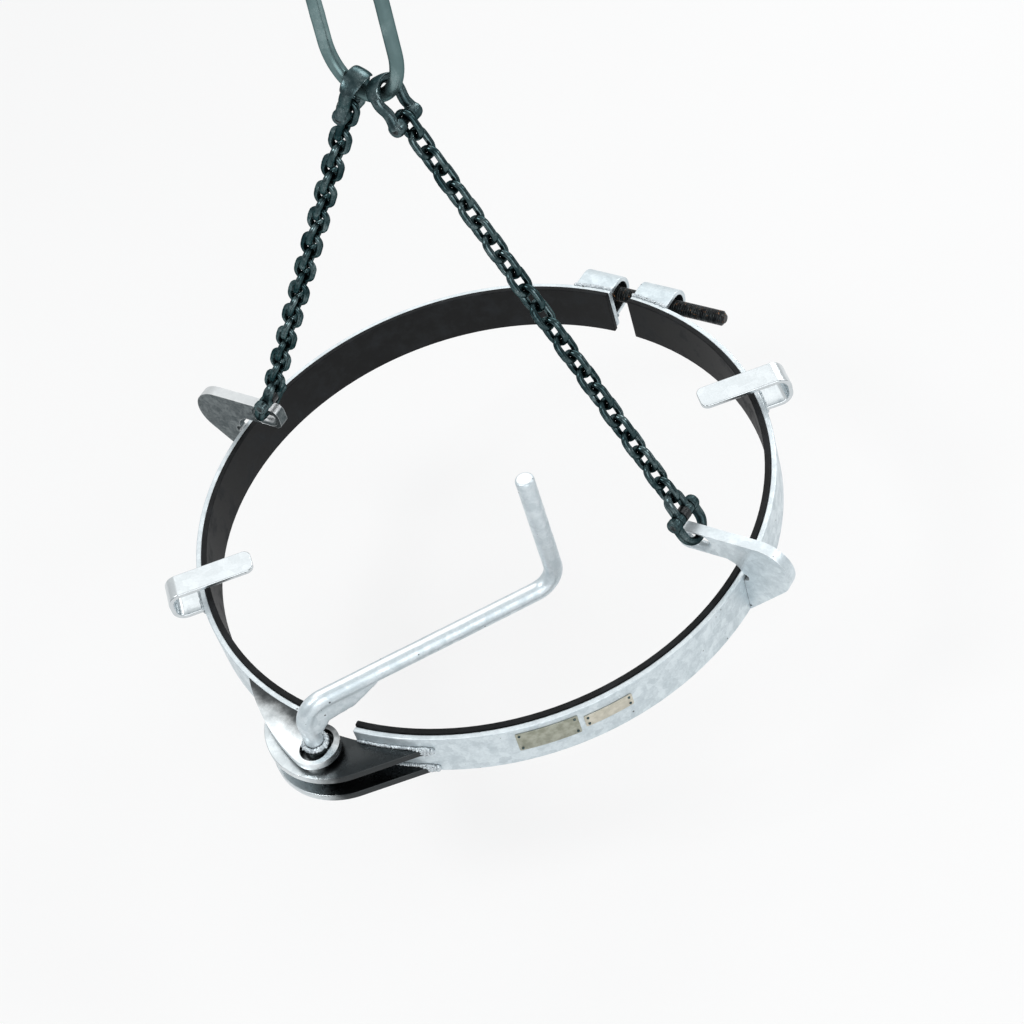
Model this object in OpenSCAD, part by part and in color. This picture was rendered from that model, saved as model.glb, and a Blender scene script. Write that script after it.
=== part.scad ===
// Drum lifter: two-half clamp band with an eccentric lever, hung from a two-leg chain sling.
// The band closes round the drum just under its rim. Z runs up the drum axis, z = 0 is the rim plane.
// The lever clamp is at -Y, the adjusting spindle at +Y, the lifting lugs on +X and -X.

/* [Band] */
// Radius of the drum wall that the lining grips
seat_r = 287; // [240:1:320]
// Thickness of the rubber lining
lining_t = 6; // [3:0.5:12]
// Thickness of the steel band
band_t = 6; // [4:0.5:12]
// Height of the steel band
band_h = 50; // [40:1:70]
// Distance from the rim plane down to the band's top edge
band_drop = 14; // [8:1:24]
// How far the lining stands out past each edge of the band
lining_lip = 2; // [0:0.5:5]
// Width of the gap in the band under the lever
front_gap = 62; // [50:1:80]
// Width of the gap in the band at the spindle
back_gap = 26; // [16:1:40]

/* [Lifting lugs] */
// Thickness of the lug plates
lug_t = 12; // [10:0.5:16]
// Height of the arm that reaches over the rim
lug_arm_h = 26; // [24:1:36]
// Height of the arm's underside above the rim plane
lug_rise = 7; // [4:0.5:14]
// How far the arm reaches in from the drum wall
lug_reach = 51; // [44:1:70]
// Distance from the arm's tip to the place where the chain hangs
lug_hang = 20; // [17:0.5:26]
// Radius of the outer nose
lug_nose_r = 32; // [26:1:40]
// Half width of the hanging slot
slot_r = 6.7; // [5.5:0.1:8]
// Half length of the slot's straight part
slot_half = 4.5; // [4:0.1:7]

/* [Stop fingers] */
// Direction of the right finger, from +X; the left one is opposite
finger_angle = 45; // [35:1:55]
// Width of the flat bar
finger_w = 28; // [20:1:36]
// Thickness of the flat bar
finger_t = 5; // [4:0.5:8]
// Height of the finger's underside above the rim plane
finger_rise = 5; // [2:0.5:9]
// How far the finger reaches in from the drum wall
finger_reach = 50; // [35:1:70]
// How far the bend stands out from the band
finger_bulge = 31; // [24:1:40]
// Outer radius of the two bends
finger_bend_r = 14; // [9:0.5:17]
// Overall height of the bent loop
finger_loop_h = 36; // [32:1:48]

/* [Lever clamp] */
// Distance of the lever's turning axis outside the band
pivot_out = 24; // [18:0.5:30]
// Throw of the eccentric
throw = 4; // [2.5:0.5:5]
// Radius of the eccentric
eccentric_r = 13; // [12:0.5:15]
// Radius of the lever shaft
shaft_r = 8; // [7:0.5:8.5]
// Thickness of the fork and tongue plates
plate_t = 8; // [6:0.5:9]
// Radius of the tongue's round end
tongue_r = 24; // [23:0.5:30]
// Radius of the bulge of the fork plates
fork_r = 73; // [68:1:86]
// Depth of the upper fork plate's top face below the band's top edge
fork_drop = 14; // [12:0.5:18]
// Diameter of the lever bar
lever_d = 18; // [14:0.5:22]
// Height of the lever arm's centre line above the rim plane
arm_z = 42; // [34:1:50]
// Length of the lever arm in plan
arm_l = 268; // [200:1:300]
// Direction of the closed lever, from +X
arm_angle = 54; // [45:1:65]
// Height of the grip's top above the arm
grip_h = 146; // [90:1:160]
// Thickness of the web under the arm
web_t = 13; // [8:0.5:16]
// Length of the web along the arm
web_l = 78; // [60:1:110]

/* [Spindle] */
// Diameter of the adjusting spindle
spindle_d = 16; // [12:1:20]
// Length of the spindle that stands out of the right eye
spindle_free = 58; // [30:1:80]
// Width of the bent spindle eyes along the spindle
eye_l = 43; // [34:1:50]
// Inner radius of the spindle eyes
eye_r = 14; // [13:0.5:16]
// Thickness of the flat bar of the eyes
eye_t = 5; // [4:0.5:7]

/* [Chain sling] */
// Number of links in one leg
link_count = 23; // [15:2:31]
// Diameter of the chain's wire
wire_d = 6.5; // [6:0.1:7]
// Inner length of a chain link
link_l = 19.5; // [18:0.5:21]
// Inner width of a chain link
link_w = 10; // [9:0.2:11]
// Bar diameter of the master link
master_d = 13; // [11:0.5:16]
// Inner width of the master link
master_w = 60; // [54:1:75]
// Inner length of the master link
master_l = 135; // [100:1:160]
// Lean of the hanging sling towards the spindle side, in degrees
sling_lean = 5; // [0:0.5:10]

/* [Fits] */
// Gap between pieces that hang in one another
hang_gap = 0.2; // [0.1:0.1:0.3]
// Gap between the lug slot and the link that hangs in it
lug_gap = 0.9; // [0.6:0.1:1.2]
// Gap between the master link and the couplers that swing on it
master_gap = 1; // [0.9:0.05:1]
// Axial gap between pieces that turn or slide on one another
end_gap = 0.3; // [0.1:0.1:0.5]
// Radial clearance of pins and shafts
pin_gap = 0.05; // [0.02:0.01:0.1]
// Glue line between the band and its lining
glue_gap = 0.1; // [0.05:0.05:0.2]
// Clearance round the eccentric in its slot
slot_gap = 1.3; // [1.1:0.1:2]

/* [Hidden] */
$fn = 64;
eps = 0.01;
steel = "LightSlateGray";
zinc = "Silver";
black = "DimGray";

band_in = seat_r + lining_t;
band_out = band_in + band_t;
band_top = -band_drop;
band_low = band_top - band_h;
// The lining grips the drum between these two heights
lining_top = band_top + lining_lip;
lining_low = band_low - lining_lip;
front_half_angle = asin(front_gap / 2 / band_out);
back_left_angle = 90 + asin(back_gap / 3 / band_out);
back_right_angle = 90 - asin(back_gap * 2 / 3 / band_out);

// Lug: slot centre line, hanging point and the swing axis at the centre of the slot's round edge
lug_mid_z = lug_rise + lug_arm_h / 2;
slot_edge_r = lug_t / 2 - 0.5;
hang_x = seat_r - lug_reach + lug_hang;
swing_z = lug_mid_z + slot_r + slot_edge_r;
lug_nose_x = band_out + 19;
lug_corner_r = 18;
relief_r = 5;
lug_tip_r = 8;

// Lever clamp
pivot = [2, -(band_out + pivot_out)];
tongue_top = band_top;
fork_top = band_top - fork_drop;
fork_center = [-2, -(band_out - 19)];
fork_tail = 20;
left_clear = 2.5;
// Directions, from +X, of the tongue's root on the band and of the place where its arc meets the round end
tongue_root = -110;
tongue_blend = -110;
slot_play = 0.6;
foot_gap = 2;
washer_t = 3.5;
washer_r = shaft_r + 7;
split_d = 4;
split_z = band_low - end_gap - washer_t - split_d / 2 - end_gap;
shaft_end = split_z - split_d;
arm_bend_r = 24;
grip_chamfer = 1.5;
web_drop = 34;
web_low = arm_z - web_drop;
web_foot = lever_d / 2 + 3;
web_knee = [lever_d / 2 + 12, web_low + 10];
web_belly = [web_l * 0.62, arm_z - lever_d / 2 - 12];

// Spindle
spindle_y = band_out + eye_r;
spindle_z = band_top - 20;
eye_left_x = -back_gap / 3 - eye_l / 2;
eye_right_x = back_gap * 2 / 3 + eye_l / 2;
nut_l = 16;
nut_w = (eye_r - end_gap) * sqrt(3);
bush_gap = 0.4;
collar_l = 8;
collar_r = spindle_d / 2 + 4;

// Coupler: a bow round the master link, two arms and a pin
coupler_d = 10;
coupler_w = 11.5;
boss_chamfer = 1.5;
coupler_r = 15;
coupler_arm = 26;
coupler_boss_d = 15;
coupler_boss_in = 6;
coupler_boss_out = 18;
pin_d = 8;
// Connecting link: narrow upper half, wide lower half, load pin and sleeve
upper_d = 7;
upper_w = 8.5;
upper_r = 8.4;
upper_arm = 16;
upper_eye_d = 14;
lower_d = 8;
lower_r = 16.3;
lower_arm = 13;
lower_eye_d = 15;
lower_eye_out = lower_r + lower_d / 2 + 1;
sleeve_d = 14;

// Distances along a leg, from the centre of the master link's lower bow
master_r = (master_w + master_d) / 2;
coupler_t = master_r - master_d / 2 - master_gap - coupler_d / 2 + coupler_r;
coupler_pin_t = coupler_t + coupler_arm;
link_step = link_l - hang_gap;
first_link_t = coupler_pin_t - pin_d / 2 - hang_gap + link_l / 2;
last_link_t = first_link_t + (link_count - 1) * link_step;
upper_t = last_link_t + link_l / 2 - hang_gap - upper_d / 2 + upper_r;
load_pin_t = upper_t + upper_arm;
lower_t = load_pin_t + lower_arm;
leg_l = lower_t + lower_r;
// The hanging point and the bow centre, measured up the sling from the swing axis
hang_v = -(slot_edge_r + lug_gap + lower_d / 2);
bow_v = hang_v + sqrt(leg_l * leg_l - hang_x * hang_x);
leg_angle = asin(hang_x / leg_l);

// Frames: the leaning sling, and one leg whose -Z runs down to its lug; side is 1 right, -1 left
module sling_frame() {
  translate([0, 0, swing_z]) rotate([-sling_lean, 0, 0]) children();
}

module leg_frame(side) {
  sling_frame() translate([0, 0, bow_v]) rotate([0, -side * leg_angle, 0]) children();
}

// Section of a forged bar with round edges: bar_d thick and width wide
module bar_section(bar_d, width) {
  if (width > bar_d) {
    for (s = [-1, 1]) translate([0, s * (width - bar_d) / 2]) circle(d = bar_d);
    square([bar_d, width - bar_d], center = true);
  } else {
    circle(d = bar_d);
  }
}

// Half a ring of bar in the XZ plane, bowed towards +Z
module bow(bar_d, width, mean_r) {
  rotate([90, 0, 0]) rotate_extrude(angle = 180) translate([mean_r, 0]) bar_section(bar_d, width);
}

// Closed oval link of round bar in the XZ plane, centred
module oval_link(bar_d, inner_l, inner_w) {
  mean_r = (inner_w + bar_d) / 2;
  half = (inner_l - inner_w) / 2;
  translate([0, 0, half]) bow(bar_d, bar_d, mean_r);
  translate([0, 0, -half]) rotate([0, 180, 0]) bow(bar_d, bar_d, mean_r);
  for (s = [-1, 1]) translate([s * mean_r, 0, -half]) cylinder(d = bar_d, h = 2 * half);
}

// Eye boss along X with a chamfered outer end
module eye_boss(eye_d, length) {
  rotate([0, 90, 0]) {
    cylinder(d = eye_d, h = length - boss_chamfer);
    translate([0, 0, length - boss_chamfer])
      cylinder(d1 = eye_d, d2 = eye_d - 2 * boss_chamfer, h = boss_chamfer);
  }
}

// Forged half link in the XZ plane: bow, two arms down to a pin hole and an eye on each arm
module half_link(bar_d, width, mean_r, arm, eye_d, eye_in, eye_out) {
  difference() {
    for (s = [0, 1]) mirror([s, 0, 0]) {
      bow(bar_d, width, mean_r);
      translate([mean_r, 0, -arm]) linear_extrude(arm) bar_section(bar_d, width);
      translate([eye_in, 0, -arm]) eye_boss(eye_d, eye_out - eye_in);
    }
    translate([0, 0, -arm]) rotate([0, 90, 0])
      cylinder(d = pin_d + 2 * pin_gap, h = 4 * mean_r, center = true);
  }
}

// A pin along Y through a leg
module leg_pin(side, at, length) {
  leg_frame(side) translate([0, 0, -at]) rotate([90, 0, 0]) cylinder(d = pin_d, h = length, center = true);
}

// Rectangular bar bent to a circle about the Z axis between two angles
module ring_sector(r_in, r_out, z_low, z_high, from, to) {
  rotate([0, 0, from]) rotate_extrude(angle = to - from, $fn = 128)
    translate([r_in, z_low]) square([r_out - r_in, z_high - z_low]);
}

module master_link() {
  color(steel) sling_frame() translate([0, 0, bow_v + (master_l - master_w) / 2])
    oval_link(master_d, master_l, master_w);
}

module coupler(side) {
  color(steel) leg_frame(side) translate([0, 0, -coupler_t]) rotate([0, 0, 90])
    half_link(coupler_d, coupler_w, coupler_r, coupler_arm,
      coupler_boss_d, coupler_boss_in, coupler_boss_out);
}

module coupler_pin(side) {
  color(steel) leg_pin(side, coupler_pin_t, 2 * coupler_boss_out + 2);
}

// Links lie in turn along and across the sling's plane
module chain(side) {
  color(steel) leg_frame(side)
    for (i = [0 : link_count - 1])
      translate([0, 0, -(first_link_t + i * link_step)]) rotate([0, 0, 90 * (i % 2)])
        oval_link(wire_d, link_l, link_w, $fn = 32);
}

module link_upper(side) {
  color(steel) leg_frame(side) translate([0, 0, -upper_t]) rotate([0, 0, 90])
    half_link(upper_d, upper_w, upper_r, upper_arm,
      upper_eye_d, upper_r - upper_d / 2, upper_r + upper_d / 2);
}

module link_lower(side) {
  color(steel) leg_frame(side) translate([0, 0, -lower_t]) rotate([180, 0, 90])
    half_link(lower_d, lower_d, lower_r, lower_arm,
      lower_eye_d, lower_r - lower_d / 2, lower_eye_out);
}

module load_pin(side) {
  color(steel) leg_pin(side, load_pin_t, 2 * lower_eye_out);
}

module load_sleeve(side) {
  length = 2 * (upper_r - upper_d / 2 - end_gap);
  color(black) leg_frame(side) translate([0, 0, -load_pin_t]) rotate([90, 0, 0]) difference() {
    cylinder(d = sleeve_d, h = length, center = true);
    cylinder(d = pin_d + 2 * pin_gap, h = length + 2, center = true);
  }
}

module band_right() {
  color(zinc) ring_sector(band_in, band_out, band_low, band_top, -90 + front_half_angle, back_right_angle);
}

module band_left() {
  color(zinc) ring_sector(band_in, band_out, band_low, band_top, back_left_angle, 270 - front_half_angle);
}

module lining_right() {
  color("black")
    ring_sector(seat_r, band_in - glue_gap, lining_low, lining_top, -90 + front_half_angle, back_right_angle);
}

module lining_left() {
  color("black")
    ring_sector(seat_r, band_in - glue_gap, lining_low, lining_top, back_left_angle, 270 - front_half_angle);
}

// Point where a line from p touches a circle, on the side that turn (1 or -1) picks
function tangent_point(c, r, p, turn) =
  let (d = p - c, aim = atan2(d[1], d[0]) + turn * acos(r / norm(d)))
  c + r * [cos(aim), sin(aim)];

// Lug outline in the plane of the plate: x is the radius, y is the height
module lug_outline() {
  nose = [lug_nose_x, lug_rise + lug_arm_h - lug_nose_r];
  foot = [band_out, band_low];
  touch = tangent_point(nose, lug_nose_r, foot, 1);
  tip_x = seat_r - lug_reach;
  arm_top = lug_rise + lug_arm_h;
  difference() {
    union() {
      translate(nose) circle(lug_nose_r);
      polygon([foot, touch, nose, [lug_nose_x, arm_top], [band_out - lug_corner_r, arm_top],
        [band_out - lug_corner_r, lug_rise], [band_out, lug_rise]]);
      translate([tip_x, lug_rise + lug_tip_r]) square([lug_nose_x - tip_x, lug_arm_h - 2 * lug_tip_r]);
      translate([tip_x + lug_tip_r, lug_rise]) square([lug_nose_x - tip_x - lug_tip_r, lug_arm_h]);
      for (z = [lug_rise + lug_tip_r, arm_top - lug_tip_r])
        translate([tip_x + lug_tip_r, z]) circle(lug_tip_r);
    }
    // Clear space over the rim and the band's top, with a round inner corner
    translate([0, band_low - 1]) square([band_out - lug_corner_r, lug_rise - band_low + 1]);
    translate([0, band_low - 1]) square([band_out, lug_rise - lug_corner_r - band_low + 1]);
    translate([band_out - lug_corner_r, lug_rise - lug_corner_r]) circle(lug_corner_r);
    translate([band_out + 1, band_top - 1]) circle(relief_r);
  }
}

// Half section of the slot: open to the plate's middle and flared to both faces
module slot_section() {
  difference() {
    translate([0, -lug_t / 2 - eps]) square([slot_r + slot_edge_r, lug_t + 2 * eps]);
    translate([slot_r + slot_edge_r, 0]) circle(slot_edge_r);
  }
}

module hanging_slot() {
  for (s = [-1, 1]) translate([s * slot_half, 0, 0]) rotate_extrude() slot_section();
  rotate([90, 0, 90]) translate([0, 0, -slot_half]) linear_extrude(2 * slot_half)
    for (s = [0, 1]) mirror([s, 0]) slot_section();
}

module lug() {
  color(zinc) difference() {
    rotate([90, 0, 0]) translate([0, 0, -lug_t / 2]) linear_extrude(lug_t) lug_outline();
    translate([hang_x, 0, lug_mid_z]) rotate([90, 0, 0]) hanging_slot();
    translate([0, 0, band_low - 1]) cylinder(r = band_out, h = band_h + 1, $fn = 128);
  }
}

// Side view of the stop finger: x is the radius, y is the height
module finger_side() {
  top = finger_rise + finger_t;
  low = top - finger_loop_h;
  far = band_out + finger_bulge;
  bend_x = far - finger_bend_r;
  translate([seat_r - finger_reach, finger_rise]) square([bend_x - seat_r + finger_reach, finger_t]);
  translate([band_out - 2, low]) square([bend_x - band_out + 2, finger_t]);
  translate([far - finger_t, low + finger_bend_r]) square([finger_t, finger_loop_h - 2 * finger_bend_r]);
  for (s = [[1, top - finger_bend_r], [-1, low + finger_bend_r]]) translate([bend_x, s[1]]) intersection() {
    difference() {
      circle(finger_bend_r);
      circle(finger_bend_r - finger_t);
    }
    translate([0, s[0] > 0 ? 0 : -finger_bend_r]) square(finger_bend_r);
  }
}

// Plan of the stop finger, with two round corners at its tip
module finger_plan() {
  corner = finger_w / 3.5;
  tip_x = seat_r - finger_reach;
  length = finger_reach + lining_t + band_t + finger_bulge + finger_t;
  translate([tip_x + corner, -finger_w / 2]) square([length - corner, finger_w]);
  translate([tip_x, -finger_w / 2 + corner]) square([length, finger_w - 2 * corner]);
  for (s = [-1, 1]) translate([tip_x + corner, s * (finger_w / 2 - corner)]) circle(corner);
}

module stop_finger(angle) {
  color(zinc) rotate([0, 0, angle]) difference() {
    intersection() {
      rotate([90, 0, 0]) translate([0, 0, -finger_w / 2]) linear_extrude(finger_w) finger_side();
      translate([0, 0, -finger_loop_h]) linear_extrude(2 * finger_loop_h) finger_plan();
    }
    translate([0, 0, band_low]) cylinder(r = band_out, h = band_h, $fn = 128);
  }
}

// Fork plate in plan: a round bulge about the lever axis that runs out along the right band
module fork_plan() {
  tail = [band_out * cos(-90 + fork_tail), band_out * sin(-90 + fork_tail)];
  touch = tangent_point(fork_center, fork_r, tail, -1);
  difference() {
    union() {
      translate(fork_center) circle(fork_r);
      polygon([tail, fork_center, touch]);
    }
    circle(band_out, $fn = 128);
    // Clear of the left half band
    intersection() {
      circle(band_out + left_clear, $fn = 128);
      translate([-2 * band_out, -2 * band_out]) square(2 * band_out);
    }
    translate(pivot) circle(shaft_r + pin_gap);
  }
}

module fork_upper_plate() {
  color(zinc) translate([0, 0, fork_top - plate_t]) linear_extrude(plate_t) fork_plan();
}

module fork_lower_plate() {
  color(zinc) translate([0, 0, band_low]) linear_extrude(plate_t) fork_plan();
}

module flat_washer(outer_r, inner_r, thickness) {
  difference() {
    cylinder(r = outer_r, h = thickness);
    translate([0, 0, -1]) cylinder(r = inner_r, h = thickness + 2);
  }
}

module thrust_washer() {
  color(zinc) translate([pivot[0], pivot[1], fork_top])
    flat_washer(shaft_r + 8, shaft_r + 2 * pin_gap, tongue_top - plate_t - fork_top - end_gap);
}

// Tongue in plan: a round end over the lever axis; its outer edge is an arc from the left band into that end
module tongue_plan() {
  end = pivot + [throw / 2, 0];
  root = band_out * [cos(tongue_root), sin(tongue_root)];
  inward = -[cos(tongue_blend), sin(tongue_blend)];
  reach = root - end;
  arc_off = (reach * reach - tongue_r * tongue_r) / (2 * (reach * inward + tongue_r));
  difference() {
    union() {
      translate(end) circle(tongue_r);
      intersection() {
        translate(end + arc_off * inward) circle(arc_off + tongue_r, $fn = 256);
        polygon([root, 1.4 * root, end - 3 * tongue_r * inward, end,
          [end[0], -band_in], [-front_gap / 2, -band_in]]);
      }
    }
    circle(band_out, $fn = 128);
    // Slot across the pull, in which the eccentric rolls
    for (s = [-1, 1]) translate(pivot + [throw, s * (throw + slot_play)]) circle(eccentric_r + slot_gap);
    translate(pivot + [throw - eccentric_r - slot_gap, -throw - slot_play])
      square([2 * (eccentric_r + slot_gap), 2 * (throw + slot_play)]);
  }
}

module tongue_plate() {
  color(zinc) translate([0, 0, tongue_top - plate_t]) linear_extrude(plate_t) tongue_plan();
}

// Shaft through the fork with the eccentric on top, in the lever's rest position
module eccentric_shaft() {
  color(zinc) translate([pivot[0], pivot[1], 0]) difference() {
    union() {
      translate([0, 0, shaft_end]) cylinder(r = shaft_r, h = tongue_top - plate_t - shaft_end);
      translate([throw, 0, tongue_top - plate_t]) cylinder(r = eccentric_r, h = plate_t + foot_gap);
    }
    translate([0, 0, split_z]) rotate([0, 90, 0])
      cylinder(d = split_d + 2 * pin_gap, h = 4 * shaft_r, center = true);
  }
}

module retaining_washer() {
  color(zinc) translate([pivot[0], pivot[1], band_low - end_gap - washer_t])
    flat_washer(washer_r, shaft_r + pin_gap, washer_t);
}

module split_pin() {
  head_r = split_d * 0.8;
  head_x = washer_r + head_r + end_gap;
  color(steel) translate([pivot[0], pivot[1], split_z]) rotate([0, 90, 0]) {
    translate([0, 0, -washer_r]) cylinder(d = split_d, h = washer_r + head_x);
    translate([0, 0, head_x]) sphere(head_r);
  }
}

// Bent bar with an upright grip, and a web in the corner between arm and post
module lever() {
  foot_z = tongue_top + foot_gap;
  color(zinc) translate([pivot[0] + throw, pivot[1], 0]) rotate([0, 0, arm_angle]) {
    translate([0, 0, foot_z]) cylinder(d = lever_d, h = arm_z - arm_bend_r - foot_z);
    translate([arm_bend_r, 0, arm_z - arm_bend_r]) rotate([90, 0, 0]) rotate([0, 0, 90])
      rotate_extrude(angle = 90) translate([arm_bend_r, 0]) circle(d = lever_d);
    translate([arm_bend_r, 0, arm_z]) rotate([0, 90, 0]) cylinder(d = lever_d, h = arm_l - 2 * arm_bend_r);
    translate([arm_l - arm_bend_r, 0, arm_z + arm_bend_r]) rotate([90, 0, 0]) rotate([0, 0, 270])
      rotate_extrude(angle = 90) translate([arm_bend_r, 0]) circle(d = lever_d);
    translate([arm_l, 0, arm_z + arm_bend_r]) cylinder(d = lever_d, h = grip_h - arm_bend_r - grip_chamfer);
    translate([arm_l, 0, arm_z + grip_h - grip_chamfer])
      cylinder(d1 = lever_d, d2 = lever_d - 2 * grip_chamfer, h = grip_chamfer);
    rotate([90, 0, 0]) translate([0, 0, -web_t / 2]) linear_extrude(web_t)
      polygon([[0, web_low], [web_foot, web_low], web_knee, web_belly, [web_l, arm_z - lever_d / 2 + 2],
        [web_l, arm_z], [arm_bend_r, arm_z], arm_bend_r * [0.3, -0.3] + [0, arm_z], [0, arm_z - arm_bend_r]]);
  }
}

// Flat bar bent round the spindle, its two legs on the band
module spindle_eye(mid_x) {
  color(zinc) difference() {
    translate([mid_x - eye_l / 2, 0, 0]) rotate([90, 0, 90]) linear_extrude(eye_l) difference() {
      union() {
        translate([spindle_y, spindle_z]) circle(eye_r + eye_t);
        translate([band_in, spindle_z - eye_r - eye_t]) square([spindle_y - band_in, 2 * (eye_r + eye_t)]);
      }
      translate([spindle_y, spindle_z]) circle(eye_r);
      translate([band_in - 1, spindle_z - eye_r]) square([spindle_y - band_in + 1, 2 * eye_r]);
    }
    translate([0, 0, band_low]) cylinder(r = band_out, h = band_h, $fn = 128);
  }
}

// Hexagon held in an eye, with a hole along X
module eye_hexagon(mid_x, hole_r) {
  translate([mid_x, spindle_y, spindle_z]) rotate([0, 90, 0]) difference() {
    cylinder(d = nut_w / cos(30), h = nut_l, center = true, $fn = 6);
    cylinder(r = hole_r, h = nut_l + 2, center = true);
  }
}

module spindle_nut() {
  color(zinc) eye_hexagon(eye_right_x, spindle_d / 2 + pin_gap);
}

module spindle_bush() {
  color(zinc) eye_hexagon(eye_left_x, spindle_d / 2 + bush_gap);
}

// Threaded bar with a collar behind the bush and a chamfered free end
module spindle() {
  start = eye_left_x - nut_l / 2 - end_gap - collar_l;
  finish = eye_right_x + eye_l / 2 + spindle_free;
  chamfer = 3;
  color(black) translate([0, spindle_y, spindle_z]) rotate([0, 90, 0]) {
    translate([0, 0, start]) cylinder(r = collar_r, h = collar_l);
    translate([0, 0, start]) cylinder(d = spindle_d, h = finish - chamfer - start);
    translate([0, 0, finish - chamfer]) cylinder(d1 = spindle_d, d2 = spindle_d - 2 * chamfer, h = chamfer);
  }
}

master_link();
coupler(1);  // coupler_right
coupler(-1);  // coupler_left
coupler_pin(1);  // coupler_pin_right
coupler_pin(-1);  // coupler_pin_left
chain(1);  // chain_right
chain(-1);  // chain_left
link_upper(1);  // link_upper_right
link_upper(-1);  // link_upper_left
link_lower(1);  // link_lower_right
link_lower(-1);  // link_lower_left
load_pin(1);  // load_pin_right
load_pin(-1);  // load_pin_left
load_sleeve(1);  // load_sleeve_right
load_sleeve(-1);  // load_sleeve_left
band_right();
lining_right();
lug();  // lug_right
stop_finger(finger_angle);  // stop_finger_right
fork_upper_plate();
fork_lower_plate();
thrust_washer();
spindle_eye(eye_right_x);  // spindle_eye_right
spindle_nut();
spindle();
lever();
eccentric_shaft();
retaining_washer();
split_pin();
band_left();
lining_left();
rotate([0, 0, 180]) lug();  // lug_left
stop_finger(finger_angle - 180);  // stop_finger_left
tongue_plate();
spindle_eye(eye_left_x);  // spindle_eye_left
spindle_bush();
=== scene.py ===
import math

import bmesh
import bpy
from mathutils import Matrix, Quaternion, Vector, noise


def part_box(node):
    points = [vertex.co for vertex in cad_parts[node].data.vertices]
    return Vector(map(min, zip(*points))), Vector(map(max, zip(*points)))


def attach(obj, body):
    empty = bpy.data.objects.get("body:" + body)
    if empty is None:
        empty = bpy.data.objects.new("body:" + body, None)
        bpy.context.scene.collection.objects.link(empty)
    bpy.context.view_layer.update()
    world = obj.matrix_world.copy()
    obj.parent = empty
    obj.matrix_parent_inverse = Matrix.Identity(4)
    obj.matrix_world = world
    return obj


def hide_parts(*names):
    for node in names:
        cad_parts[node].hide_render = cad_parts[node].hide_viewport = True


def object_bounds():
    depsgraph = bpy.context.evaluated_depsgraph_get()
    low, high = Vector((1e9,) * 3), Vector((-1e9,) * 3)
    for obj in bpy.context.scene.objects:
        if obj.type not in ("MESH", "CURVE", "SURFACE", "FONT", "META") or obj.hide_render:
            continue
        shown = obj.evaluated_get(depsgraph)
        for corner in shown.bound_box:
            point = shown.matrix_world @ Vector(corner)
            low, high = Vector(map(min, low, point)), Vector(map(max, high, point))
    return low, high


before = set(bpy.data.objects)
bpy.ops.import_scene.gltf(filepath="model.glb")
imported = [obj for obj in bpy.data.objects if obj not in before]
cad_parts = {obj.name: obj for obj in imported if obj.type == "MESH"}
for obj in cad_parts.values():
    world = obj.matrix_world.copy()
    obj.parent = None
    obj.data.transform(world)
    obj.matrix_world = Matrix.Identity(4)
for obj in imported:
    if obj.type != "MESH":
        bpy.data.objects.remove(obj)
cad_low, cad_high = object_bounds()
RIGHT, LEFT = 1, -1
X_AXIS = Vector((1, 0, 0))
Y_AXIS = Vector((0, 1, 0))
Z_AXIS = Vector((0, 0, 1))

# Sizes in metres, in the frame of the solids
BAND_R = 0.299
BAND_TOP = -0.014
BAND_LOW = -0.064
WELD_R = BAND_R + 0.0006
PLATE_T = 0.008
FORK_TOP = -0.028
PIVOT = Vector((0.002, -0.323, 0.0))
THROW = 0.004
LEVER_R = 0.009
ARM_ANGLE = math.radians(54)
ARM_LENGTH = 0.268
ARM_Z = 0.042
ARM_BEND_R = 0.024
GRIP_TOP = 0.188
GRIP_CHAMFER = 0.0012
WEB_HALF_T = 0.0080
FOOT_Z = -0.012
SPINDLE_Y = 0.313
SPINDLE_Z = -0.034
SPINDLE_R = 0.008
COLLAR_R = 0.012
COLLAR_LENGTH = 0.008
COLLAR_CHAMFER = 0.0008
THREAD_DEPTH = 0.0009
THREAD_PITCH = 0.002
FINGER_ANGLES = {RIGHT: math.radians(45), LEFT: math.radians(-135)}
SIDE_NAMES = {RIGHT: "right", LEFT: "left"}
HALF_BODY = {RIGHT: "right_half", LEFT: "left_half"}

# Chain sling
SWING_Z = 0.0322
SLING_LEAN = math.radians(5)
HANG_X = 0.256
LINK_COUNT = 23
WIRE_R = 0.00325
LINK_LENGTH = 0.0195
LINK_WIDTH = 0.010
LINK_PITCH = 0.0193
MASTER_BAR_R = 0.0065
MASTER_MEAN_R = 0.0365
MASTER_HALF = 0.0375
MASTER_BOW_RISE = 0.013
MASTER_SAG = 0.0014
COUPLER_BOW_R = 0.015
COUPLER_ARM = 0.026
COUPLER_PINCH = 0.0026
COUPLER_CROWN_HALF_W = 0.0092
FLANGE_RISE = 0.0030
FLANGE_HALF_T = 0.0014
FLANGE_HALF_W = 0.0058
UPPER_BOW_R = 0.0084
UPPER_CROWN_R = 0.0035
UPPER_ARM = 0.016
LOWER_BOW_R = 0.0163
LOWER_ARM = 0.013
PIN_R = 0.004
LINK_PLAY = 0.0002

# Places along a leg, from the centre of the master link's lower bow
COUPLER_T = 0.0390
COUPLER_PIN_T = COUPLER_T + COUPLER_ARM
FIRST_LINK_T = COUPLER_PIN_T - PIN_R - LINK_PLAY + LINK_LENGTH / 2
LAST_LINK_T = FIRST_LINK_T + (LINK_COUNT - 1) * LINK_PITCH
UPPER_T = LAST_LINK_T + LINK_LENGTH / 2 - LINK_PLAY - UPPER_CROWN_R + UPPER_BOW_R
LOAD_PIN_T = UPPER_T + UPPER_ARM
LOWER_T = LOAD_PIN_T + LOWER_ARM
LEG_LENGTH = LOWER_T + LOWER_BOW_R

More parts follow.
